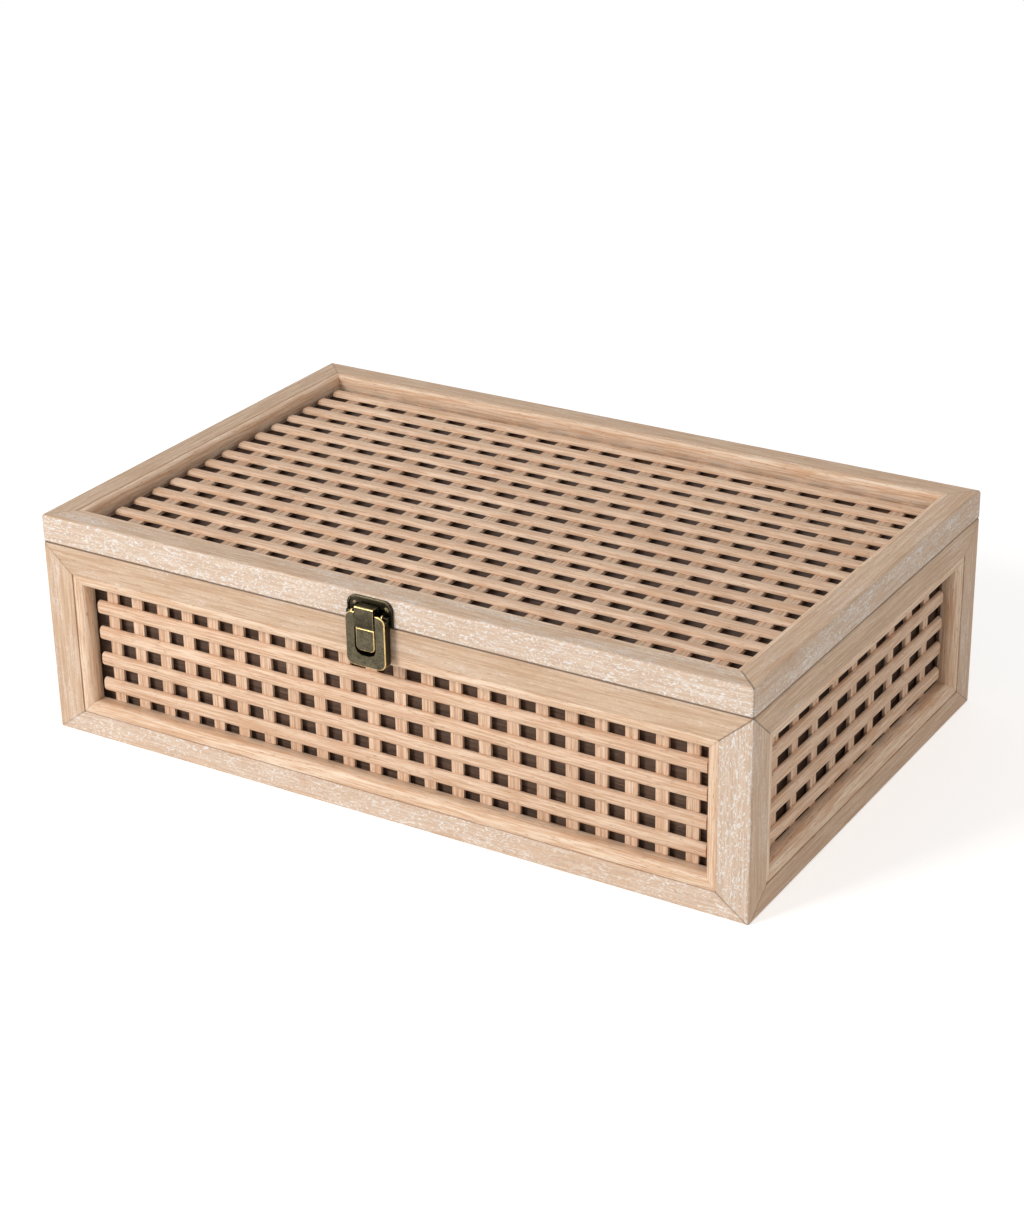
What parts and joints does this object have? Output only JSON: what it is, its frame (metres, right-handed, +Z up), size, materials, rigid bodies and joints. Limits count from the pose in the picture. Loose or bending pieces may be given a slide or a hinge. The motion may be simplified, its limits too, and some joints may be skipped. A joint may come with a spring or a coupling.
{
  "type": "keepsake box",
  "caption": "Flat wooden keepsake box with mitred lattice walls, a slatted lid hinged at the back and a small toggle latch at the front.",
  "frame": {"origin": "middle of the box's underside, without the latch and the hinges", "axes": "+X to the right along the front, +Y to the back where the hinges are, +Z up"},
  "size_m": [0.38, 0.2566, 0.114],
  "materials": {
    "limed_frame_wood": "limed, open grain",
    "bead_wood": "limed, smooth",
    "slat_wood": "washed, fine grain",
    "board_wood": "dark stained",
    "antique_brass": "antiqued, darkened"
  },
  "bodies": {
    "box": {"front_top_rail": "limed_frame_wood", "front_bottom_rail": "limed_frame_wood", "front_left_stile": "limed_frame_wood", "front_right_stile": "limed_frame_wood", "front_bead": "bead_wood", "front_slats": "slat_wood", "front_uprights": "slat_wood", "front_lining": "board_wood", "right_top_rail": "limed_frame_wood", "right_bottom_rail": "limed_frame_wood", "right_left_stile": "limed_frame_wood", "right_right_stile": "limed_frame_wood", "right_bead": "bead_wood", "right_slats": "slat_wood", "right_uprights": "slat_wood", "right_lining": "board_wood", "back_top_rail": "limed_frame_wood", "back_bottom_rail": "limed_frame_wood", "back_left_stile": "limed_frame_wood", "back_right_stile": "limed_frame_wood", "back_bead": "bead_wood", "back_slats": "slat_wood", "back_uprights": "slat_wood", "back_lining": "board_wood", "left_top_rail": "limed_frame_wood", "left_bottom_rail": "limed_frame_wood", "left_left_stile": "limed_frame_wood", "left_right_stile": "limed_frame_wood", "left_bead": "bead_wood", "left_slats": "slat_wood", "left_uprights": "slat_wood", "left_lining": "board_wood", "bottom_board": "board_wood", "left_hinge_lower_leaf": "antique_brass", "right_hinge_lower_leaf": "antique_brass", "left_hinge_pin": "antique_brass", "right_hinge_pin": "antique_brass", "hinge_lower_screws": "antique_brass", "latch_base_plate": "antique_brass", "latch_base_nails": "antique_brass", "latch_rivets": "antique_brass"},
    "lid": {"lid_front_rim": "limed_frame_wood", "lid_right_rim": "limed_frame_wood", "lid_back_rim": "limed_frame_wood", "lid_left_rim": "limed_frame_wood", "lid_bead": "bead_wood", "lid_slats": "slat_wood", "lid_cross_strips": "slat_wood", "lid_lining": "board_wood", "left_hinge_upper_leaf": "antique_brass", "right_hinge_upper_leaf": "antique_brass", "hinge_upper_screws": "antique_brass", "latch_catch_plate": "antique_brass", "latch_catch_nails": "antique_brass"},
    "latch_lever": {"latch_lever_plate": "antique_brass", "latch_hook_pin": "antique_brass"},
    "latch_hook": {"latch_hook_strap": "antique_brass"}
  },
  "joints": [
    {"name": "lid_hinge", "type": "hinge", "parent": "box", "child": "lid", "pos_m": [0, 0.1246, 0.1002], "axis": [-1, 0, 0], "range_deg": [0, 100]},
    {"name": "latch_lever_pivot", "type": "hinge", "parent": "box", "child": "latch_lever", "pos_m": [0, -0.1253, 0.1055], "axis": [-1, 0, 0], "range_deg": [0, 90]},
    {"name": "latch_hook_pivot", "type": "hinge", "parent": "latch_lever", "child": "latch_hook", "pos_m": [0, -0.1272, 0.1024], "axis": [-1, 0, 0], "range_deg": [-126, 0]}
  ],
  "couplings": [
    {"joint": "latch_hook_pivot", "follows": "latch_lever_pivot", "ratio": -1.4}
  ]
}
